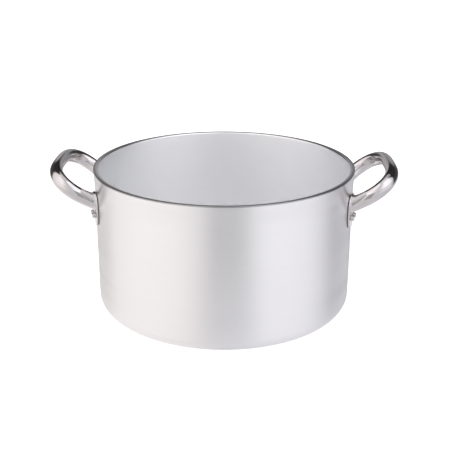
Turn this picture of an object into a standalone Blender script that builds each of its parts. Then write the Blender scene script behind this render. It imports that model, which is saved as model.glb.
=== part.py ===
"""Deep two-handled stock pot: a turned aluminium body with riveted tubular steel handles.

Units are metres and +Z is up. The origin is the centre of the base, on the surface that the pot
stands on. The two handles lie on the X axis, at -X and +X.
"""
import math

import bmesh
import bpy
from mathutils import Matrix, Vector

# --- pot body -------------------------------------------------------------------------------
INNER_RADIUS = 0.1395       # nominal 28 cm pot
WALL_RADIUS = 0.1440        # outside of the straight wall
RIM_RADIUS = 0.1450         # the wall opens out slightly at the rim
HEIGHT = 0.1620
BASE_THICKNESS = 0.0060
OUTER_CORNER = 0.0145       # radius between base and wall, outside
INNER_CORNER = 0.0120       # the same, inside
RIM_ROUND = 0.0012
RIM_FLARE_HEIGHT = 0.0220   # length of wall over which the rim opens out
BODY_STEPS = 96

# --- handles --------------------------------------------------------------------------------
GRIP_X = 0.1840             # centre line of the grip, from the pot's axis
GRIP_Z = 0.1622
FOOT_Y = 0.0420             # centre of each foot, either side of the handle's middle
FOOT_Z = 0.1306             # where the tube's centre line meets its plate
LOOP_HALF_WIDTH = 0.0570    # widest place of the loop's centre line
LOOP_SQUARENESS = 3.2       # superellipse exponent of the loop: 2 is an ellipse
TOE_IN = 3                  # how late the arms draw together on their way to the feet
TUBE_WIDTH = 0.0132         # oval section, in the plane of the loop
TUBE_DEPTH = 0.0164         # oval section, square to that plane
TUBE_GAUGE = 0.0015         # thickness of the tube's wall
FLARE_WIDTH = 0.0200        # the section where it spreads to meet its plate
FLARE_DEPTH = 0.0168
FLARE_LENGTH = 0.010        # distance over which most of the spreading happens
RUN_IN = 0.012              # extra tube beyond the foot, before its end is trimmed
LOOP_SAMPLES = 2000         # steps along the loop from which its length is measured
LOOP_RINGS = 37
RING_POINTS = 18

# --- foot plates and rivets -------------------------------------------------------------------
GAP = 0.0003                # between pieces that touch
PLATE_THICKNESS = 0.0020
PLATE_HALF_WIDTH = 0.0122
PLATE_TOP = 0.1412
PLATE_BOTTOM = 0.1032
PLATE_SQUARENESS = 2.5
PLATE_POINTS = 40
RIVET_SPACING = 0.0110
RIVET_Z = 0.1164
SHANK_RADIUS = 0.0021
OUTSIDE_HEAD_RADIUS = 0.0028
OUTSIDE_HEAD_HEIGHT = 0.0038
OUTSIDE_HEAD_EDGE = 0.0013  # rounding of the outside head's rim
INSIDE_HEAD_RADIUS = 0.0045
INSIDE_HEAD_HEIGHT = 0.0016
RIVET_STEPS = 16
TRIM_MARGIN = 0.010         # how far a cutter reaches past what it cuts

PLATE_INNER_RADIUS = WALL_RADIUS + GAP
PLATE_OUTER_RADIUS = PLATE_INNER_RADIUS + PLATE_THICKNESS


# --- helpers ----------------------------------------------------------------------------------
def clear_scene():
    for old in list(bpy.data.objects):
        bpy.data.objects.remove(old, do_unlink=True)


def new_collection(name):
    collection = bpy.data.collections.new(name)
    bpy.context.scene.collection.children.link(collection)
    return collection


def make_material(name, colour, roughness, metallic):
    material = bpy.data.materials.new(name)
    material.use_nodes = True
    shader = material.node_tree.nodes["Principled BSDF"]
    shader.inputs["Base Color"].default_value = (*colour, 1.0)
    shader.inputs["Roughness"].default_value = roughness
    shader.inputs["Metallic"].default_value = metallic
    return material


def add_object(name, data, collection, material=None):
    created = bpy.data.objects.new(name, data)
    collection.objects.link(created)
    if material:
        data.materials.append(material)
    return created


def add_cutter(name, mesh, collection):
    cutter = add_object(name, mesh, collection)
    cutter.hide_render = True
    cutter.display_type = "WIRE"
    return cutter


def smooth(mesh, degrees=35):
    mesh.shade_smooth()
    mesh.set_sharp_from_angle(angle=math.radians(degrees))


def evaluated_mesh(source):
    """The source object's mesh with all its modifiers applied."""
    graph = bpy.context.evaluated_depsgraph_get()
    graph.update()
    return bpy.data.meshes.new_from_object(source.evaluated_get(graph), depsgraph=graph)


def cut(target, cutter, operation="DIFFERENCE"):
    modifier = target.modifiers.new(cutter.name, "BOOLEAN")
    modifier.object = cutter
    modifier.operation = operation
    modifier.solver = "EXACT"


def arc(centre, radius, start, end, count):
    """Points on an arc in the XZ plane, from the start angle to the end angle in degrees."""
    angles = [math.radians(start + (end - start) * i / (count - 1)) for i in range(count)]
    return [(centre[0] + radius * math.cos(a), centre[1] + radius * math.sin(a)) for a in angles]


def turned_mesh(name, profile, steps, ring=False):
    """Turn an (r, z) profile about Z. Its outer side runs downwards; a ring's profile is closed."""
    mesh = bpy.data.meshes.new(name)
    points = [(r, 0.0, z) for r, z in profile]
    edges = [(i, i + 1) for i in range(len(points) - 1)]
    if ring:
        edges.append((len(points) - 1, 0))
    mesh.from_pydata(points, edges, [])
    blank = bpy.data.objects.new(name, mesh)
    bpy.context.scene.collection.objects.link(blank)
    screw = blank.modifiers.new("turn", "SCREW")
    screw.steps = steps
    screw.render_steps = steps
    screw.use_merge_vertices = True
    screw.merge_threshold = 0.00001
    turned = evaluated_mesh(blank)
    bpy.data.objects.remove(blank, do_unlink=True)
    bpy.data.meshes.remove(mesh)
    smooth(turned)
    return turned


# --- shapes -----------------------------------------------------------------------------------
def body_profile():
    """Half section of the pot: from the cavity's centre up the inside, over the rim and down."""
    inner_corner = (INNER_RADIUS - INNER_CORNER, BASE_THICKNESS + INNER_CORNER)
    outer_corner = (WALL_RADIUS - OUTER_CORNER, OUTER_CORNER)
    rim_top = HEIGHT - RIM_ROUND
    profile = [(0.0, BASE_THICKNESS)]
    profile += arc(inner_corner, INNER_CORNER, -90, 0, 5)
    profile += arc((INNER_RADIUS + RIM_ROUND, rim_top), RIM_ROUND, 180, 90, 3)
    profile += arc((RIM_RADIUS - RIM_ROUND, rim_top), RIM_ROUND, 90, 0, 3)
    profile += [((RIM_RADIUS + WALL_RADIUS) / 2, HEIGHT - RIM_FLARE_HEIGHT / 2)]
    profile += [(WALL_RADIUS, HEIGHT - RIM_FLARE_HEIGHT)]
    profile += arc(outer_corner, OUTER_CORNER, 0, -90, 7)
    profile += [(0.0, 0.0)]
    return profile


def rivet_profile():
    """Half section of a set rivet along its own axis: outside head on top, inside head below."""
    plate_face = PLATE_OUTER_RADIUS + GAP
    wall_face = INNER_RADIUS - GAP
    head_top = plate_face + OUTSIDE_HEAD_HEIGHT
    edge_centre = (OUTSIDE_HEAD_RADIUS - OUTSIDE_HEAD_EDGE, head_top - OUTSIDE_HEAD_EDGE)
    profile = [(0.0, head_top)] + arc(edge_centre, OUTSIDE_HEAD_EDGE, 90, 0, 3)
    profile += [(OUTSIDE_HEAD_RADIUS, plate_face), (SHANK_RADIUS, plate_face), (SHANK_RADIUS, wall_face)]
    sphere = (INSIDE_HEAD_RADIUS ** 2 + INSIDE_HEAD_HEIGHT ** 2) / (2 * INSIDE_HEAD_HEIGHT)
    sweep = math.degrees(math.asin(INSIDE_HEAD_RADIUS / sphere))
    crown = wall_face - INSIDE_HEAD_HEIGHT
    dome = arc((0.0, crown + sphere), sphere, sweep - 90, -90, 4)
    return profile + dome


def foot_x():
    return math.sqrt(PLATE_OUTER_RADIUS ** 2 - FOOT_Y ** 2)


def loop_point(t):
    """Centre line of the handle in the plane of its loop, for t from 0 to 1.

    x runs outwards and up from the feet, and y runs along the grip. The loop is a superellipse
    whose arms draw together towards the feet.
    """
    angle = math.pi * t
    power = 2 / LOOP_SQUARENESS
    length = math.hypot(GRIP_X - foot_x(), GRIP_Z - FOOT_Z)
    x = length * abs(math.sin(angle)) ** power
    y = LOOP_HALF_WIDTH * abs(math.cos(angle)) ** power
    y -= (LOOP_HALF_WIDTH - FOOT_Y) * (1 - x / length) ** TOE_IN
    return Vector((x, math.copysign(y, math.cos(angle)), 0.0))


def loop_centre_line():
    """Evenly spaced points round the loop, and their distances from the nearer foot.

    Each end is carried on straight into the wall, where the distance is zero.
    """
    fine = [loop_point(i / LOOP_SAMPLES) for i in range(LOOP_SAMPLES + 1)]
    lengths = [0.0]
    for a, b in zip(fine, fine[1:]):
        lengths.append(lengths[-1] + (b - a).length)
    points = []
    distances = []
    at = 0
    for i in range(LOOP_RINGS):
        target = lengths[-1] * i / (LOOP_RINGS - 1)
        while at < LOOP_SAMPLES - 1 and lengths[at + 1] < target:
            at += 1
        share = (target - lengths[at]) / (lengths[at + 1] - lengths[at])
        points.append(fine[at].lerp(fine[at + 1], share))
        distances.append(min(target, lengths[-1] - target))
    first = points[0] + (points[0] - points[1]).normalized() * RUN_IN
    last = points[-1] + (points[-1] - points[-2]).normalized() * RUN_IN
    return [first] + points + [last], [0.0] + distances + [0.0]


def oval_ring(centre, tangent, from_foot):
    """Points of the tube's section at one place: an oval that spreads towards the foot."""
    spread = math.exp(-(from_foot / FLARE_LENGTH) ** 2)
    half_width = (TUBE_WIDTH + (FLARE_WIDTH - TUBE_WIDTH) * spread) / 2
    half_depth = (TUBE_DEPTH + (FLARE_DEPTH - TUBE_DEPTH) * spread) / 2
    normal = Vector((0, 0, 1))
    across = tangent.cross(normal).normalized()
    ring = []
    for i in range(RING_POINTS):
        angle = 2 * math.pi * i / RING_POINTS
        ring.append(centre + across * half_width * math.cos(angle) + normal * half_depth * math.sin(angle))
    return ring


def tube_mesh():
    """The outside of the handle at +X: a loft of ovals round the loop, open at both ends."""
    points, distances = loop_centre_line()
    shape = bmesh.new()
    rings = []
    for i, (point, distance) in enumerate(zip(points, distances)):
        before = points[max(i - 1, 0)]
        after = points[min(i + 1, len(points) - 1)]
        ring = oval_ring(point, (after - before).normalized(), distance)
        rings.append([shape.verts.new(corner) for corner in ring])
    for ring, following in zip(rings, rings[1:]):
        for i in range(RING_POINTS):
            j = (i + 1) % RING_POINTS
            shape.faces.new((ring[i], ring[j], following[j], following[i]))
    bmesh.ops.recalc_face_normals(shape, faces=shape.faces)
    mesh = bpy.data.meshes.new("handle_tube")
    shape.to_mesh(mesh)
    shape.free()
    slope = math.atan2(GRIP_Z - FOOT_Z, GRIP_X - foot_x())
    mesh.transform(Matrix.Translation((foot_x(), 0, FOOT_Z)) @ Matrix.Rotation(-slope, 4, "Y"))
    return mesh


def plate_prism(scrap):
    """A prism along X whose section is the foot plate's outline, seen square to the wall."""
    curve = bpy.data.curves.new("plate_outline", "CURVE")
    curve.dimensions = "2D"
    curve.fill_mode = "BOTH"
    curve.extrude = TRIM_MARGIN
    spline = curve.splines.new("POLY")
    spline.points.add(PLATE_POINTS - 1)
    spline.use_cyclic_u = True
    power = 2 / PLATE_SQUARENESS
    half_height = (PLATE_TOP - PLATE_BOTTOM) / 2
    for i, point in enumerate(spline.points):
        angle = 2 * math.pi * (i + 0.5) / PLATE_POINTS
        across = PLATE_HALF_WIDTH * math.copysign(abs(math.cos(angle)) ** power, math.cos(angle))
        up = half_height * math.copysign(abs(math.sin(angle)) ** power, math.sin(angle))
        point.co = (across, up, 0.0, 1.0)
    outline = add_object("plate_outline", curve, scrap)
    mesh = evaluated_mesh(outline)
    bpy.data.objects.remove(outline, do_unlink=True)
    shape = bmesh.new()
    shape.from_mesh(mesh)
    bmesh.ops.remove_doubles(shape, verts=shape.verts, dist=0.00001)
    shape.to_mesh(mesh)
    shape.free()
    # the outline's x runs along Y, its y along Z, and its thickness along X
    turn = Matrix(((0, 0, 1, PLATE_OUTER_RADIUS), (1, 0, 0, 0),
                   (0, 1, 0, (PLATE_TOP + PLATE_BOTTOM) / 2), (0, 0, 0, 1)))
    mesh.transform(turn)
    return mesh


def block_cutter(radius):
    """Profile of a solid cylinder that stands above and below the handles' feet."""
    bottom = PLATE_BOTTOM - TRIM_MARGIN
    return [(0.0, HEIGHT), (radius, HEIGHT), (radius, bottom), (0.0, bottom)]


# --- assembly -----------------------------------------------------------------------------------
def build_body(pot, material):
    mesh = turned_mesh("pot_body", body_profile(), BODY_STEPS)
    return add_object("pot_body", mesh, pot, material)


def build_rivet_mesh(material):
    """A rivet that lies along +X, with its distances from the pot's axis already right."""
    mesh = turned_mesh("rivet", rivet_profile(), RIVET_STEPS)
    mesh.transform(Matrix.Translation((0, 0, RIVET_Z)) @ Matrix.Rotation(math.pi / 2, 4, "Y"))
    mesh.materials.append(material)
    return mesh


def build_hole_mesh():
    """A cutter for one rivet's hole through the wall and the foot plate, along +X."""
    radius = SHANK_RADIUS + GAP
    low, high = INNER_RADIUS - TRIM_MARGIN, PLATE_OUTER_RADIUS + TRIM_MARGIN
    profile = [(0.0, high), (radius, high), (radius, low), (0.0, low)]
    mesh = turned_mesh("rivet_hole", profile, RIVET_STEPS)
    mesh.transform(Matrix.Translation((0, 0, RIVET_Z)) @ Matrix.Rotation(math.pi / 2, 4, "Y"))
    return mesh


def build_plate_mesh(scrap, material):
    """The foot plate of a foot at +X: its outline cut out of a thin ring that fits the wall."""
    top, bottom = PLATE_TOP + TRIM_MARGIN, PLATE_BOTTOM - TRIM_MARGIN
    section = [(PLATE_OUTER_RADIUS, top), (PLATE_OUTER_RADIUS, bottom),
               (PLATE_INNER_RADIUS, bottom), (PLATE_INNER_RADIUS, top)]
    ring = add_cutter("plate_ring", turned_mesh("plate_ring", section, BODY_STEPS, ring=True), scrap)
    blank = add_object("plate_blank", plate_prism(scrap), scrap, material)
    cut(blank, ring, "INTERSECT")
    mesh = evaluated_mesh(blank)
    bpy.data.objects.remove(blank, do_unlink=True)
    smooth(mesh)
    return mesh


def build_tube_mesh(scrap, material):
    """The hollow handle tube at +X, its two ends trimmed to the round of the foot plates."""
    tube = add_object("tube_blank", tube_mesh(), scrap, material)
    gauge = tube.modifiers.new("gauge", "SOLIDIFY")
    gauge.thickness = TUBE_GAUGE
    gauge.offset = -1.0
    profile = block_cutter(PLATE_OUTER_RADIUS + GAP)
    wall = add_cutter("tube_trim", turned_mesh("tube_trim", profile, BODY_STEPS), scrap)
    cut(tube, wall)
    mesh = evaluated_mesh(tube)
    bpy.data.objects.remove(tube, do_unlink=True)
    smooth(mesh)
    return mesh


def add_piece(name, mesh, pot, handle, angle=0.0):
    """Add a piece modelled at +X to a handle, turned about the pot's axis."""
    piece = bpy.data.objects.new(name, mesh)
    pot.objects.link(piece)
    piece.rotation_euler = (0, 0, angle)
    piece.parent = handle
    return piece


def main():
    clear_scene()
    pot = new_collection("stock_pot")
    scrap = new_collection("cutters")
    aluminium = make_material("satin_aluminium", (0.78, 0.77, 0.77), 0.38, 1.0)
    steel = make_material("polished_steel", (0.62, 0.60, 0.59), 0.16, 1.0)
    rivet_metal = make_material("rivet_metal", (0.66, 0.64, 0.63), 0.30, 1.0)

    body = build_body(pot, aluminium)
    tube = build_tube_mesh(scrap, steel)
    plate = build_plate_mesh(scrap, steel)
    hole = build_hole_mesh()
    rivet = build_rivet_mesh(rivet_metal)

    foot_angle = math.asin(FOOT_Y / WALL_RADIUS)
    rivet_angle = RIVET_SPACING / 2 / WALL_RADIUS
    for side, side_angle in (("right", 0.0), ("left", math.pi)):
        handle = bpy.data.objects.new("handle_" + side, None)
        pot.objects.link(handle)
        handle.rotation_euler = (0, 0, side_angle)
        add_piece("handle_tube_" + side, tube, pot, handle)
        for sign in (-1, 1):
            # the left handle is turned half round, so its foot at +Y before the turn is the front one
            at_front = (sign < 0) == (side == "right")
            foot_name = "%s_%s" % (side, "front" if at_front else "rear")
            foot_plate = add_piece("foot_plate_" + foot_name, plate, pot, handle, sign * foot_angle)
            for place, offset in (("outer", rivet_angle), ("inner", -rivet_angle)):
                angle = sign * (foot_angle + offset)
                rivet_name = "rivet_%s_%s" % (foot_name, place)
                add_piece(rivet_name, rivet, pot, handle, angle)
                cutter = add_cutter(rivet_name + "_hole", hole, scrap)
                cutter.rotation_euler = (0, 0, angle)
                cutter.parent = handle
                cut(body, cutter)
                cut(foot_plate, cutter)


main()
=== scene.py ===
"""A deep two-handled stock pot in satin turned aluminium, on a plain pale floor.

The CAD frame gives every place and size. The fine turned body, the blended handles, the rounded
foot plates and the set rivets here each stand for one CAD node.
"""
import math

import bmesh
import bpy
from mathutils import Matrix, Vector


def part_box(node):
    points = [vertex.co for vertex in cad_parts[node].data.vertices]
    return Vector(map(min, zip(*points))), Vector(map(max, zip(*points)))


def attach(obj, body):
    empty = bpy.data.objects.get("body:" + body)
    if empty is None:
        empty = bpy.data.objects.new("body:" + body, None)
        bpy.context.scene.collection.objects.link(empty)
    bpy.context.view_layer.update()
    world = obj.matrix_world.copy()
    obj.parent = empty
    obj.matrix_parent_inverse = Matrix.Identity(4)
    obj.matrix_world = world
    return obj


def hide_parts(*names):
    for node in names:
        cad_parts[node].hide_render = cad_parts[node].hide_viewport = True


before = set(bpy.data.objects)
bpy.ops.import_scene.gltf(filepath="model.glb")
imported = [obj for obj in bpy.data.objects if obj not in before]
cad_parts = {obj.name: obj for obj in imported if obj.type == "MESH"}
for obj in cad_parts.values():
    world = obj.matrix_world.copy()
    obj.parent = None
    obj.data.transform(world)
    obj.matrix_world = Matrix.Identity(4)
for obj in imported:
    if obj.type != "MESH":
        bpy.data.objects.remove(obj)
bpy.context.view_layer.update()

# --- sizes that the CAD model has, in metres ----------------------------------------------------
body_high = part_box("pot_body")[1]
plate_low, plate_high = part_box("foot_plate_right_rear")

HEIGHT = body_high.z
RIM_RADIUS = body_high.x
RIM_SWELL = 0.0010          # how far the rim stands out from the wall
RIM_THICKNESS = 0.0055
WALL_RADIUS = RIM_RADIUS - RIM_SWELL
INNER_RADIUS = RIM_RADIUS - RIM_THICKNESS
BASE_THICKNESS = 0.0060
OUTER_CORNER = 0.0145
INNER_CORNER = 0.0120
RIM_INNER_ROUND = 0.0016
RIM_OUTER_ROUND = 0.0005
RIM_FLARE_HEIGHT = 0.0220

PLATE_GAP = 0.0003
PLATE_THICKNESS = 0.0020
PLATE_INNER_RADIUS = WALL_RADIUS + PLATE_GAP
PLATE_OUTER_RADIUS = PLATE_INNER_RADIUS + PLATE_THICKNESS
PLATE_HALF_WIDTH = 0.0122
PLATE_HALF_HEIGHT = (plate_high.z - plate_low.z) / 2
PLATE_Z = (plate_high.z + plate_low.z) / 2
PLATE_SQUARENESS = 2.5      # 2 would be an ellipse, more is nearer to a rectangle
PLATE_UNDER_ROUND = 0.0010
PLATE_OVER_ROUND = 0.0008

GRIP_X = 0.1840
GRIP_Z = 0.1622
FOOT_Y = 0.0420
FOOT_Z = 0.1306
FOOT_X = math.sqrt(PLATE_OUTER_RADIUS ** 2 - FOOT_Y ** 2)
LOOP_HALF_WIDTH = 0.0570
LOOP_SQUARENESS = 3.2
TOE_IN = 3                  # the higher, the nearer to the feet the loop's arms draw together
TUBE_WIDTH = 0.0132
TUBE_DEPTH = 0.0164
FLARE_WIDTH = 0.0200
FLARE_DEPTH = 0.0168
FLARE_LENGTH = 0.010
WELD_FILLET = 0.0030
RUN_IN = 0.014              # how far the tube is carried past its feet before it is trimmed
TUBE_SINK = 0.0010          # how far the trimmed tube goes into the foot plate

FOOT_ANGLE = math.asin(FOOT_Y / WALL_RADIUS)
RIVET_SPACING = 0.0110
RIVET_ANGLE = RIVET_SPACING / 2 / WALL_RADIUS
RIVET_Z = 0.1164
SHANK_RADIUS = 0.0021
HOLE_RADIUS = SHANK_RADIUS + 0.0003
HEAD_GAP = 0.0001           # between a rivet's heads and the faces that they hold
OUTSIDE_HEAD_RADIUS = 0.0028
OUTSIDE_HEAD_HEIGHT = 0.0038
OUTSIDE_HEAD_ROUND = OUTSIDE_HEAD_RADIUS * 0.55
OUTSIDE_HEAD_FLAT = OUTSIDE_HEAD_RADIUS - OUTSIDE_HEAD_ROUND * 1.5
INSIDE_HEAD_RADIUS = 0.0045
INSIDE_HEAD_HEIGHT = 0.0016

# --- fineness of the meshes -----------------------------------------------------------------------
SHARP_ANGLE = math.radians(40)
BODY_SEGMENTS = 288
RIVET_SEGMENTS = 48
DRILL_SEGMENTS = 24
FLOOR_SEGMENTS = 64
LOOP_RINGS = 150
TUBE_RING_POINTS = 48
PLATE_RING_POINTS = 72

# --- surfaces: a pair is what a surface's colour or roughness varies between ------------------------
WALL_METAL = ((0.870, 0.865, 0.865), (0.910, 0.905, 0.905))
# painted light: the inside is coloured lighter than the wall's outside, standing in for the light that
# fills the pot
INSIDE_PAINTED_LIGHT_METAL = (0.925, 0.932, 0.938)
# painted shade: a darker line on the rim's top, along its outside edge
RIM_EDGE_PAINTED_SHADE = (0.44, 0.44, 0.45)
HANDLE_METAL = ((0.60, 0.58, 0.58), (0.66, 0.64, 0.64))
RIVET_METAL = ((0.52, 0.49, 0.49), (0.62, 0.59, 0.59))
# painted light: the rivets' inside heads are coloured lighter than their outside heads, to match the
# painted lighter inside
INSIDE_RIVET_PAINTED_LIGHT = (0.93, 0.92, 0.94)
FLOOR_PAINT = ((0.90, 0.90, 0.90), (0.92, 0.92, 0.92))
WALL_ROUGHNESS = (0.34, 0.38)
INSIDE_ROUGHER = 0.20       # added to the wall's inside the pot, which has a duller finish
GRAIN_ROUGHER = 0.08
RIM_ROUGHNESS = 0.28
WALL_STRETCH = 0.85         # how much a highlight is drawn out across the turned grain
INSIDE_STRETCH = 0.45
INSIDE_SKIN = (0.0002, 0.0008)  # the inside's duller finish and its painted lighter colour fade between these depths in the wall
RIM_SHADE_LINE_INSETS = (0.0034, 0.0018)     # how far in from the rim's outside its painted shade line starts and is full
NOISE_RANGE = (0.3, 0.7)    # nearly all of a noise texture lies between these

# --- light: (azimuth in degrees, radiance) round the pot ------------------------------------------
# Azimuth 0 is the camera's side and +90 the pot's right. Two large softboxes stand to the left and
# right of the camera with a dimmer gap between them. The room behind the pot is dark from its middle
# height up, but for a dim strip straight behind it, and a dim patch is overhead.
FLOOR_LIGHT = ((-180, 0.45), (-150, 1.10), (-110, 0.98), (-75, 0.95), (-48, 0.89), (-15, 0.80), (0, 0.80),
               (18, 0.80), (50, 0.84), (80, 0.84), (115, 0.80), (150, 0.92), (180, 0.42))
MIDDLE_LIGHT = ((-180, 0.34), (-165, 0.50), (-150, 0.07), (-120, 0.07), (-104, 1.05), (-75, 1.20),
                (-45, 1.20), (-15, 0.92), (8, 0.80), (40, 1.10), (75, 1.15), (92, 0.85), (106, 0.07),
                (150, 0.07), (165, 0.38), (180, 0.34))
UPPER_LIGHT = ((-180, 0.03), (-122, 0.04), (-104, 1.10), (-45, 1.40), (0, 0.85), (45, 1.60), (80, 1.50),
               (94, 1.00), (108, 0.04), (180, 0.03))
FLOOR_EDGE = (-0.20, -0.02)   # heights of the steps between them, in parts of a right angle
UPPER_EDGE = (0.18, 0.27)
ZENITH_EDGE = (0.78, 0.86)
ZENITH_LIGHT = 0.5
WARM_SIDE = (1.045, 1.0, 1.0)
COOL_SIDE = (1.01, 1.0, 1.05)
TINT_EDGE = (-0.45, 0.15)     # from the warm side to the cool one, in parts of the way across
BACKDROP = 1.0
RAMP_SCALE = 2.0              # a colour ramp stops at 1, so it holds radiances divided by this
FLOOR_GLOW = 0.72             # what the floor gives off, beside the light that it sends back


# --- mesh helpers -------------------------------------------------------------------------------
def link(name, data):
    """A new object in the scene, from its mesh, camera or light data."""
    made = bpy.data.objects.new(name, data)
    bpy.context.scene.collection.objects.link(made)
    return made


def finish_mesh(shape, name):
    """Turn a bmesh into a smooth-shaded mesh with its faces pointing out."""
    bmesh.ops.remove_doubles(shape, verts=shape.verts, dist=1e-7)
    bmesh.ops.recalc_face_normals(shape, faces=shape.faces)
    mesh = bpy.data.meshes.new(name)
    shape.to_mesh(mesh)
    shape.free()
    mesh.shade_smooth()
    mesh.set_sharp_from_angle(angle=SHARP_ANGLE)
    return mesh


def add_rings(shape, rings):
    """Faces between closed rings of points that follow each other; returns the rings' vertices."""
    rows = [[shape.verts.new(point) for point in ring] for ring in rings]
    for row, following in zip(rows, rows[1:]):
        for i in range(len(row)):
            j = (i + 1) % len(row)
            shape.faces.new((row[i], row[j], following[j], following[i]))
    return rows


def arc(centre, radius, start, end, count):
    """A round stretch of count points, from one angle in degrees to another."""
    angles = [math.radians(start + (end - start) * i / (count - 1)) for i in range(count)]
    return [(centre[0] + radius * math.cos(a), centre[1] + radius * math.sin(a)) for a in angles]


def turned(name, profile, steps):
    """Turn an (r, z) profile about Z. A point on the axis becomes a pole."""
    shape = bmesh.new()
    turns = [2 * math.pi * i / steps for i in range(steps)]
    rings = [[(r * math.cos(t), r * math.sin(t), z) for t in turns] for r, z in profile]
    add_rings(shape, rings)
    return finish_mesh(shape, name)


def trimmed(piece, cutter):
    """Cut cutter's shape out of piece's mesh, then drop the cutter."""
    modifier = piece.modifiers.new("trim", "BOOLEAN")
    modifier.object = cutter
    modifier.operation = "DIFFERENCE"
    modifier.solver = "EXACT"
    graph = bpy.context.evaluated_depsgraph_get()
    graph.update()
    mesh = bpy.data.meshes.new_from_object(piece.evaluated_get(graph), depsgraph=graph)
    piece.modifiers.clear()
    piece.data = mesh
    piece.data.set_sharp_from_angle(angle=SHARP_ANGLE)
    bpy.data.objects.remove(cutter, do_unlink=True)


# --- node helpers -------------------------------------------------------------------------------
class Nodes:
    """A short way to write a material's nodes: each call adds one and returns its output."""

    def __init__(self, tree):
        self.tree = tree
        self.shader = tree.nodes.get("Principled BSDF")

    def wire(self, value, socket):
        """Lead another node's output, or write a constant, into a socket."""
        if isinstance(value, bpy.types.NodeSocket):
            self.tree.links.new(value, socket)
        else:
            socket.default_value = value

    def math(self, operation, a, b=0.0):
        node = self.tree.nodes.new("ShaderNodeMath")
        node.operation = operation
        self.wire(a, node.inputs[0])
        self.wire(b, node.inputs[1])
        return node.outputs[0]

    def position(self):
        return self.tree.nodes.new("ShaderNodeTexCoord").outputs["Object"]

    def direction(self):
        return self.tree.nodes.new("ShaderNodeTexCoord").outputs["Generated"]

    def ramp(self, value, stops):
        """A smooth brightness curve through (position, brightness) stops."""
        node = self.tree.nodes.new("ShaderNodeValToRGB")
        node.color_ramp.interpolation = "EASE"
        points = node.color_ramp.elements
        while len(points) < len(stops):
            points.new(0.5)
        for point, (position, level) in zip(points, stops):
            point.position = position
            point.color = (level / RAMP_SCALE, level / RAMP_SCALE, level / RAMP_SCALE, 1.0)
        self.wire(value, node.inputs[0])
        return self.math("MULTIPLY", node.outputs["Color"], RAMP_SCALE)

    def step(self, value, low, high):
        """0 below low, 1 above high and a smooth rise between."""
        node = self.tree.nodes.new("ShaderNodeMapRange")
        node.interpolation_type = "SMOOTHSTEP"
        for socket, number in zip(node.inputs[:3], (value, low, high)):
            self.wire(number, socket)
        return node.outputs[0]

    def blend(self, factor, first, second):
        """Between two numbers."""
        node = self.tree.nodes.new("ShaderNodeMix")
        self.wire(factor, node.inputs[0])
        self.wire(first, node.inputs[2])
        self.wire(second, node.inputs[3])
        return node.outputs[0]

    def split(self, vector):
        node = self.tree.nodes.new("ShaderNodeSeparateXYZ")
        self.wire(vector, node.inputs[0])
        return node.outputs

    def join(self, x, y, z):
        node = self.tree.nodes.new("ShaderNodeCombineXYZ")
        for value, socket in zip((x, y, z), node.inputs):
            self.wire(value, socket)
        return node.outputs[0]

    def axis_distance(self, x, y):
        """How far a place is from the pot's axis."""
        squares = self.math("ADD", self.math("MULTIPLY", x, x), self.math("MULTIPLY", y, y))
        return self.math("SQRT", squares)

    def noise(self, vector, scale, detail=3.0, roughness=0.5):
        node = self.tree.nodes.new("ShaderNodeTexNoise")
        self.wire(vector, node.inputs["Vector"])
        node.inputs["Scale"].default_value = scale
        node.inputs["Detail"].default_value = detail
        node.inputs["Roughness"].default_value = roughness
        return node.outputs["Fac"]

    def scaled(self, value, low, high, from_low=NOISE_RANGE[0], from_high=NOISE_RANGE[1]):
        """A noise, or another value, moved from its own range to low .. high."""
        node = self.tree.nodes.new("ShaderNodeMapRange")
        for socket, number in zip(node.inputs[:5], (value, from_low, from_high, low, high)):
            self.wire(number, socket)
        return node.outputs[0]

    def mix(self, factor, first, second):
        """Between two colours."""
        node = self.tree.nodes.new("ShaderNodeMix")
        node.data_type = "RGBA"
        self.wire(factor, node.inputs["Factor"])
        for colour, socket in ((first, node.inputs[6]), (second, node.inputs[7])):
            self.wire(colour if isinstance(colour, bpy.types.NodeSocket) else (*colour, 1.0), socket)
        return node.outputs[2]

    def bump(self, height, strength, distance):
        node = self.tree.nodes.new("ShaderNodeBump")
        node.inputs["Strength"].default_value = strength
        node.inputs["Distance"].default_value = distance
        self.wire(height, node.inputs["Height"])
        return node.outputs[0]


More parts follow.
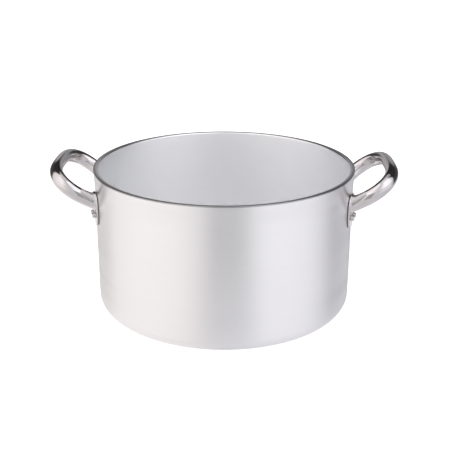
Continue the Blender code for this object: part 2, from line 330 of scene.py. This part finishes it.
# --- materials ----------------------------------------------------------------------------------
def turned_aluminium():
    """Satin aluminium with the fine rings that a lathe and a brush leave round it."""
    material = bpy.data.materials.new("turned_aluminium")
    material.use_nodes = True
    n = Nodes(material.node_tree)
    x, y, z = n.split(n.position())
    radius = n.axis_distance(x, y)
    angle = n.math("ARCTAN2", y, x)
    across_grain, along_grain = 900.0, 2.0
    grain_place = n.join(n.math("MULTIPLY", radius, across_grain), n.math("MULTIPLY", z, across_grain),
                         n.math("MULTIPLY", angle, along_grain))
    fine = n.noise(grain_place, scale=1.6, detail=4.0, roughness=0.65)
    broad = n.noise(grain_place, scale=0.12, detail=2.0)
    clouds = n.noise(n.position(), scale=9.0, detail=3.0)
    tone = n.math("ADD", n.math("MULTIPLY", fine, 0.6), n.math("MULTIPLY", clouds, 0.4))
    inside_ends = [INNER_RADIUS + depth for depth in INSIDE_SKIN]
    inside = n.math("SUBTRACT", 1.0, n.step(radius, *inside_ends))
    rim = n.step(z, HEIGHT - RIM_INNER_ROUND, HEIGHT - RIM_INNER_ROUND / 2)
    # painted shade: a darker line is painted on the rim's top, along its outside edge
    line_starts = [RIM_RADIUS - depth for depth in RIM_SHADE_LINE_INSETS]
    edge = n.math("MULTIPLY", rim, n.step(radius, *line_starts))
    metal = n.mix(n.scaled(tone, 0.0, 1.0), *WALL_METAL)
    # painted light: the inside of the pot is coloured lighter, standing in for the light inside it; its
    # duller finish is the roughness below
    metal = n.mix(inside, metal, INSIDE_PAINTED_LIGHT_METAL)
    n.wire(n.mix(edge, metal, RIM_EDGE_PAINTED_SHADE), n.shader.inputs["Base Color"])
    satin = n.math("ADD", n.scaled(broad, *WALL_ROUGHNESS), n.math("MULTIPLY", inside, INSIDE_ROUGHER))
    rough = n.math("ADD", n.scaled(fine, 0.0, GRAIN_ROUGHER), n.blend(rim, satin, RIM_ROUGHNESS))
    n.wire(rough, n.shader.inputs["Roughness"])
    n.shader.inputs["Metallic"].default_value = 1.0
    n.wire(n.blend(inside, WALL_STRETCH, INSIDE_STRETCH), n.shader.inputs["Anisotropic"])
    n.shader.inputs["Anisotropic Rotation"].default_value = 0.25
    tangent = n.tree.nodes.new("ShaderNodeTangent")
    tangent.direction_type = "RADIAL"
    tangent.axis = "Z"
    n.wire(tangent.outputs[0], n.shader.inputs["Tangent"])
    n.wire(n.bump(fine, strength=0.10, distance=0.00005), n.shader.inputs["Normal"])
    return material


def polished_steel():
    """Polished stainless steel: soft mirror with faint buffing marks."""
    material = bpy.data.materials.new("polished_steel")
    material.use_nodes = True
    n = Nodes(material.node_tree)
    place = n.position()
    buffing = n.noise(place, scale=900.0, detail=2.0)
    clouds = n.noise(place, scale=60.0, detail=3.0)
    n.wire(n.mix(n.scaled(clouds, 0.0, 1.0, 0.35, 0.65), *HANDLE_METAL), n.shader.inputs["Base Color"])
    n.wire(n.math("ADD", n.scaled(buffing, 0.0, 0.03), n.scaled(clouds, 0.05, 0.09)),
           n.shader.inputs["Roughness"])
    n.shader.inputs["Metallic"].default_value = 1.0
    n.wire(n.bump(buffing, strength=0.03, distance=0.00002), n.shader.inputs["Normal"])
    return material


def rivet_metal():
    """Bright rivet metal, a little dulled where the setting tool pressed it; its heads inside the pot are
    painted lighter, as the inside is.
    """
    material = bpy.data.materials.new("rivet_metal")
    material.use_nodes = True
    n = Nodes(material.node_tree)
    place = n.position()
    marks = n.noise(place, scale=700.0, detail=3.0)
    clouds = n.noise(place, scale=160.0, detail=2.0)
    outside = n.step(n.axis_distance(*n.split(place)[:2]), INNER_RADIUS, WALL_RADIUS)
    outside_metal = n.mix(clouds, *RIVET_METAL)
    # painted light: the heads inside the pot are coloured lighter than the outside heads, as the inside
    # wall is
    n.wire(n.mix(outside, INSIDE_RIVET_PAINTED_LIGHT, outside_metal), n.shader.inputs["Base Color"])
    n.wire(n.scaled(marks, 0.20, 0.34), n.shader.inputs["Roughness"])
    n.shader.inputs["Metallic"].default_value = 1.0
    n.wire(n.bump(marks, strength=0.15, distance=0.00006), n.shader.inputs["Normal"])
    return material


# --- pot body -----------------------------------------------------------------------------------
def body_profile():
    """Half section of the pot, from the middle of the cavity's floor round to the base."""
    flat_rings, flare_steps = 6, 12
    inside_points, rim_points, outside_points = 14, 8, 18
    inside_flat, outside_flat = 0.9 * INNER_RADIUS, 0.85 * WALL_RADIUS
    inside_wall_rings = range(30, 160, 10)      # heights in millimetres
    outside_wall_rings = range(130, 20, -10)
    inner_corner = (INNER_RADIUS - INNER_CORNER, BASE_THICKNESS + INNER_CORNER)
    outer_corner = (WALL_RADIUS - OUTER_CORNER, OUTER_CORNER)
    profile = [(inside_flat * i / flat_rings, BASE_THICKNESS) for i in range(flat_rings)]
    profile += arc(inner_corner, INNER_CORNER, -90, 0, inside_points)
    profile += [(INNER_RADIUS, z / 1000) for z in inside_wall_rings]
    rim_inside = (INNER_RADIUS + RIM_INNER_ROUND, HEIGHT - RIM_INNER_ROUND)
    rim_outside = (RIM_RADIUS - RIM_OUTER_ROUND, HEIGHT - RIM_OUTER_ROUND)
    profile += arc(rim_inside, RIM_INNER_ROUND, 180, 90, rim_points)
    profile += arc(rim_outside, RIM_OUTER_ROUND, 90, 0, rim_points)
    for i in range(1, flare_steps + 1):
        down = i / flare_steps
        ease = (1 + math.cos(math.pi * down)) / 2
        profile.append((WALL_RADIUS + (RIM_RADIUS - WALL_RADIUS) * ease,
                        rim_outside[1] - (RIM_FLARE_HEIGHT - RIM_OUTER_ROUND) * down))
    profile += [(WALL_RADIUS, z / 1000) for z in outside_wall_rings]
    profile += arc(outer_corner, OUTER_CORNER, 0, -90, outside_points)
    profile += [(outside_flat * i / flat_rings, 0.0) for i in reversed(range(flat_rings))]
    return profile


def rivet_turns():
    """Each rivet's CAD name with its direction from the pot's axis."""
    turns = {}
    for side, side_angle in (("right", 0.0), ("left", math.pi)):
        for sign in (-1, 1):
            at_front = (sign < 0) == (side == "right")
            for place, offset in (("outer", RIVET_ANGLE), ("inner", -RIVET_ANGLE)):
                name = "rivet_%s_%s_%s" % (side, "front" if at_front else "rear", place)
                turns[name] = side_angle + sign * (FOOT_ANGLE + offset)
    return turns


def along_x(angle):
    """Places something turned about Z so that it lies out along a direction, at rivet height."""
    return (Matrix.Rotation(angle, 4, "Z") @ Matrix.Translation((0, 0, RIVET_Z))
            @ Matrix.Rotation(math.pi / 2, 4, "Y"))


def build_body(material):
    """The whole pot in one turned piece, drilled for its rivets."""
    body = link("pot_body_turned", turned("pot_body_turned", body_profile(), BODY_SEGMENTS))
    overrun = 0.01
    low, high = INNER_RADIUS - overrun, WALL_RADIUS + overrun
    drill_profile = [(0, high), (HOLE_RADIUS, high), (HOLE_RADIUS, low), (0, low)]
    for name, angle in rivet_turns().items():
        drill = link(name + "_drill", turned(name, drill_profile, DRILL_SEGMENTS))
        drill.matrix_world = along_x(angle)
        trimmed(body, drill)
    body.data.materials.append(material)
    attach(body, "root")
    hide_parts("pot_body")


# --- handles ------------------------------------------------------------------------------------
def loop_point(t):
    """Centre line of the loop in its own plane: x outwards from the feet, y along the grip."""
    angle = math.pi * t
    power = 2 / LOOP_SQUARENESS
    length = math.hypot(GRIP_X - FOOT_X, GRIP_Z - FOOT_Z)
    x = length * abs(math.sin(angle)) ** power
    y = LOOP_HALF_WIDTH * abs(math.cos(angle)) ** power
    y -= (LOOP_HALF_WIDTH - FOOT_Y) * (1 - x / length) ** TOE_IN
    return Vector((x, math.copysign(y, math.cos(angle)), 0.0))


def loop_centre_line():
    """Evenly spaced points along the loop and past its feet, each with its distance from a foot."""
    samples, run_in_steps = 4000, 6
    fine = [loop_point(i / samples) for i in range(samples + 1)]
    lengths = [0.0]
    for a, b in zip(fine, fine[1:]):
        lengths.append(lengths[-1] + (b - a).length)
    points = []
    distances = []
    at = 0
    for i in range(LOOP_RINGS):
        target = lengths[-1] * i / (LOOP_RINGS - 1)
        while at < samples - 1 and lengths[at + 1] < target:
            at += 1
        share = (target - lengths[at]) / (lengths[at + 1] - lengths[at])
        points.append(fine[at].lerp(fine[at + 1], share))
        distances.append(min(target, lengths[-1] - target))
    out_first = (points[0] - points[1]).normalized()
    out_last = (points[-1] - points[-2]).normalized()
    steps = range(1, run_in_steps + 1)
    before = [points[0] + out_first * RUN_IN * i / run_in_steps for i in reversed(steps)]
    after = [points[-1] + out_last * RUN_IN * i / run_in_steps for i in steps]
    none = [0.0] * run_in_steps
    return before + points + after, none + distances + none


def fillet_height(clearance):
    """How far the weld's fillet stands out from the tube, at a distance from the foot plate."""
    if clearance >= WELD_FILLET:
        return 0.0
    reach = 1 - max(clearance, 0.0) / WELD_FILLET
    return WELD_FILLET * (1 - math.sqrt(max(0.0, 1 - reach * reach)))


def build_tube(name, side_angle, material):
    """One handle's tube, with the weld fillets that blend it into its foot plates."""
    points, distances = loop_centre_line()
    slope = math.atan2(GRIP_Z - FOOT_Z, GRIP_X - FOOT_X)
    place = Matrix.Translation((FOOT_X, 0, FOOT_Z)) @ Matrix.Rotation(-slope, 4, "Y")
    normal = Vector((0, 0, 1))
    rings = []
    for i, (centre, from_foot) in enumerate(zip(points, distances)):
        tangent = (points[min(i + 1, len(points) - 1)] - points[max(i - 1, 0)]).normalized()
        across = tangent.cross(normal).normalized()
        spread = math.exp(-(from_foot / FLARE_LENGTH) ** 2)
        half_width = (TUBE_WIDTH + (FLARE_WIDTH - TUBE_WIDTH) * spread) / 2
        half_depth = (TUBE_DEPTH + (FLARE_DEPTH - TUBE_DEPTH) * spread) / 2
        ring = []
        for k in range(TUBE_RING_POINTS):
            angle = 2 * math.pi * k / TUBE_RING_POINTS
            out = across * half_width * math.cos(angle) + normal * half_depth * math.sin(angle)
            corner = place @ (centre + out)
            clearance = math.hypot(corner.x, corner.y) - PLATE_OUTER_RADIUS
            ring.append(place @ (centre + out + out.normalized() * fillet_height(clearance)))
        rings.append(ring)
    shape = bmesh.new()
    rows = add_rings(shape, rings)
    shape.faces.new(rows[0])
    shape.faces.new(rows[-1])
    tube = link(name, finish_mesh(shape, name))
    radius, top, bottom = PLATE_OUTER_RADIUS - TUBE_SINK, HEIGHT + 0.01, HEIGHT / 2
    profile = [(0, top), (radius, top), (radius, bottom), (0, bottom)]
    trimmed(tube, link(name + "_wall", turned(name, profile, BODY_SEGMENTS)))
    tube.data.materials.append(material)
    tube.data.transform(Matrix.Rotation(side_angle, 4, "Z"))
    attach(tube, "root")
    return tube


def plate_ring(inset, radius, angle):
    """The foot plate's outline drawn in by inset, on a cylinder about the pot's axis."""
    power = 2 / PLATE_SQUARENESS
    ring = []
    for i in range(PLATE_RING_POINTS):
        t = 2 * math.pi * i / PLATE_RING_POINTS
        across = (PLATE_HALF_WIDTH - inset) * math.copysign(abs(math.cos(t)) ** power, math.cos(t))
        up = (PLATE_HALF_HEIGHT - inset) * math.copysign(abs(math.sin(t)) ** power, math.sin(t))
        turn = angle + across / WALL_RADIUS
        ring.append((radius * math.cos(turn), radius * math.sin(turn), PLATE_Z + up))
    return ring


def build_plate(name, angle, material):
    """A foot plate curved to the wall, with its outer edge rounded over."""
    face_insets = [PLATE_HALF_WIDTH * share for share in (1.0, 0.7, 0.4)]
    round_points = 7
    section = [(inset, PLATE_INNER_RADIUS) for inset in face_insets]
    under = (PLATE_UNDER_ROUND, PLATE_INNER_RADIUS + PLATE_UNDER_ROUND)
    over = (PLATE_OVER_ROUND, PLATE_OUTER_RADIUS - PLATE_OVER_ROUND)
    section += arc(under, PLATE_UNDER_ROUND, 270, 180, round_points)
    section += arc(over, PLATE_OVER_ROUND, 180, 90, round_points)
    section += [(inset, PLATE_OUTER_RADIUS) for inset in reversed(face_insets)]
    shape = bmesh.new()
    add_rings(shape, [plate_ring(inset, radius, angle) for inset, radius in section])
    plate = link(name, finish_mesh(shape, name))
    plate.data.materials.append(material)
    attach(plate, "root")
    return plate


def rivet_profile():
    """Half section of a rivet about its own axis, from its outside head's top to its inside crown."""
    plate_face = PLATE_OUTER_RADIUS + HEAD_GAP
    wall_face = INNER_RADIUS - HEAD_GAP
    round_points, crown_points = 9, 12
    top = plate_face + OUTSIDE_HEAD_HEIGHT
    profile = [(0.0, top), (OUTSIDE_HEAD_FLAT, top)]
    round_centre = (OUTSIDE_HEAD_RADIUS - OUTSIDE_HEAD_ROUND, top - OUTSIDE_HEAD_ROUND)
    profile += arc(round_centre, OUTSIDE_HEAD_ROUND, 80, 0, round_points)
    profile += [(OUTSIDE_HEAD_RADIUS, plate_face), (SHANK_RADIUS, plate_face), (SHANK_RADIUS, wall_face)]
    sphere = (INSIDE_HEAD_RADIUS ** 2 + INSIDE_HEAD_HEIGHT ** 2) / (2 * INSIDE_HEAD_HEIGHT)
    sweep = math.degrees(math.asin(INSIDE_HEAD_RADIUS / sphere))
    crown = wall_face - INSIDE_HEAD_HEIGHT
    return profile + arc((0.0, crown + sphere), sphere, sweep - 90, -90, crown_points)


def build_rivets(material):
    """Two set rivets through each foot plate and the wall."""
    for name, angle in rivet_turns().items():
        mesh = turned(name + "_set", rivet_profile(), RIVET_SEGMENTS)
        mesh.transform(along_x(angle))
        mesh.materials.append(material)
        rivet = link(name + "_set", mesh)
        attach(rivet, "root")
        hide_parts(name)


def build_handles(material):
    """Each handle's tube, with its front and rear foot plates."""
    for side, side_angle in (("right", 0.0), ("left", math.pi)):
        tube = build_tube("handle_loop_" + side, side_angle, material)
        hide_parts("handle_tube_" + side)
        for sign in (-1, 1):
            at_front = (sign < 0) == (side == "right")
            foot = "%s_%s" % (side, "front" if at_front else "rear")
            plate = build_plate("handle_foot_" + foot, side_angle + sign * FOOT_ANGLE, material)
            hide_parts("foot_plate_" + foot)


# --- stage --------------------------------------------------------------------------------------
def build_floor():
    """A pale sheet under the pot, glowing a little so that it meets the backdrop without an edge."""
    material = bpy.data.materials.new("pale_floor")
    material.use_nodes = True
    n = Nodes(material.node_tree)
    grain = n.noise(n.position(), scale=40.0, detail=2.0)
    n.wire(n.mix(grain, *FLOOR_PAINT), n.shader.inputs["Base Color"])
    n.shader.inputs["Roughness"].default_value = 0.9
    n.shader.inputs["Specular IOR Level"].default_value = 0.0
    n.shader.inputs["Emission Color"].default_value = (1.0, 1.0, 1.0, 1.0)
    n.shader.inputs["Emission Strength"].default_value = FLOOR_GLOW
    floor = link("floor", turned("floor", [(0.0, 0.0), (3.0, 0.0), (6.0, 0.0)], FLOOR_SEGMENTS))
    floor.data.flip_normals()
    floor.data.materials.append(material)
    floor.visible_glossy = False


def build_world():
    """The studio round the pot: pale surroundings to the camera, softboxes in a dim room to the metal."""
    world = bpy.data.worlds.new("studio")
    bpy.context.scene.world = world
    world.use_nodes = True
    n = Nodes(world.node_tree)
    n.tree.nodes.clear()
    x, y, z = n.split(n.direction())
    azimuth = n.math("ARCTAN2", x, n.math("MULTIPLY", y, -1.0))
    around = n.math("ADD", n.math("DIVIDE", azimuth, 2 * math.pi), 0.5)
    lift = n.math("DIVIDE", n.math("ARCSINE", z), math.pi / 2)
    floor, middle, upper = [n.ramp(around, [(0.5 + turn / 360, level) for turn, level in ring])
                            for ring in (FLOOR_LIGHT, MIDDLE_LIGHT, UPPER_LIGHT)]
    light = n.blend(n.step(lift, *UPPER_EDGE), n.blend(n.step(lift, *FLOOR_EDGE), floor, middle), upper)
    light = n.blend(n.step(lift, *ZENITH_EDGE), light, ZENITH_LIGHT)
    tint = n.mix(n.step(x, *TINT_EDGE), WARM_SIDE, COOL_SIDE)
    path = n.tree.nodes.new("ShaderNodeLightPath")
    background = n.tree.nodes.new("ShaderNodeBackground")
    n.wire(n.mix(path.outputs["Is Camera Ray"], tint, (1.0, 1.0, 1.0)), background.inputs["Color"])
    n.wire(n.blend(path.outputs["Is Camera Ray"], light, BACKDROP), background.inputs["Strength"])
    output = n.tree.nodes.new("ShaderNodeOutputWorld")
    n.tree.links.new(background.outputs[0], output.inputs["Surface"])


def build_card(width=0.32, height=0.24, centre=(0.030, -0.370), level=0.45, edge_level=0.90):
    """A grey card that stands in front of the pot, for its reflections only. Its sides are paler."""
    material = bpy.data.materials.new("grey_card")
    material.use_nodes = True
    n = Nodes(material.node_tree)
    n.shader.inputs["Base Color"].default_value = (0.0, 0.0, 0.0, 1.0)
    n.shader.inputs["Specular IOR Level"].default_value = 0.0
    n.shader.inputs["Emission Color"].default_value = (1.0, 1.0, 1.0, 1.0)
    x, y = centre
    aside = n.math("ABSOLUTE", n.math("SUBTRACT", n.split(n.position())[0], x))
    fade = n.step(aside, 0.12 * width, width / 2)
    n.wire(n.blend(fade, level, edge_level), n.shader.inputs["Emission Strength"])
    shape = bmesh.new()
    corners = [(x - width / 2, y, 0.0), (x + width / 2, y, 0.0),
               (x + width / 2, y, height), (x - width / 2, y, height)]
    shape.faces.new([shape.verts.new(corner) for corner in corners])
    mesh = bpy.data.meshes.new("card")
    shape.to_mesh(mesh)
    shape.free()
    mesh.materials.append(material)
    card = link("card", mesh)
    card.visible_camera = False
    card.visible_diffuse = False
    card.visible_shadow = False


def softbox(name, azimuth, elevation, distance, width, height, radiance):
    """An area light aimed at the pot; azimuth 0 is the camera's side and 90 the pot's right."""
    light = bpy.data.lights.new(name, "AREA")
    light.shape = "RECTANGLE"
    light.size = width
    light.size_y = height
    light.energy = radiance * width * height * math.pi
    lamp = link(name, light)
    around = math.radians(azimuth)
    up = math.radians(elevation)
    direction = Vector((math.sin(around) * math.cos(up), -math.cos(around) * math.cos(up), math.sin(up)))
    lamp.location = Vector((0, 0, HEIGHT / 2)) + direction * distance
    lamp.rotation_euler = direction.to_track_quat("Z", "Y").to_euler()
    lamp.visible_camera = False


def build_lights():
    softbox("top_softbox", azimuth=150, elevation=80, distance=1.7, width=1.3, height=1.3, radiance=0.5)


def build_camera():
    """The photograph's view: from above the rim, and a very little to the pot's right."""
    data = bpy.data.cameras.new("camera")
    data.lens = 67.83
    data.sensor_width = 36.0
    camera = link("camera", data)
    pan, pitch, roll = math.radians(1.319), math.radians(20.709), math.radians(0.164)
    place = Matrix.Translation((0.0234, -0.9146, 0.4334))
    aim = (Matrix.Rotation(pan, 4, "Z") @ Matrix.Rotation(math.pi / 2 - pitch, 4, "X")
           @ Matrix.Rotation(roll, 4, "Z"))
    camera.matrix_world = place @ aim
    bpy.context.scene.camera = camera


def main():
    build_camera()
    build_world()
    build_lights()
    build_floor()
    build_card()
    steel = polished_steel()
    build_body(turned_aluminium())
    build_handles(steel)
    build_rivets(rivet_metal())
    bpy.context.scene.view_settings.view_transform = "Standard"
    bpy.context.scene.cycles.glossy_bounces = 10    # light crosses the inside of the pot many times


main()
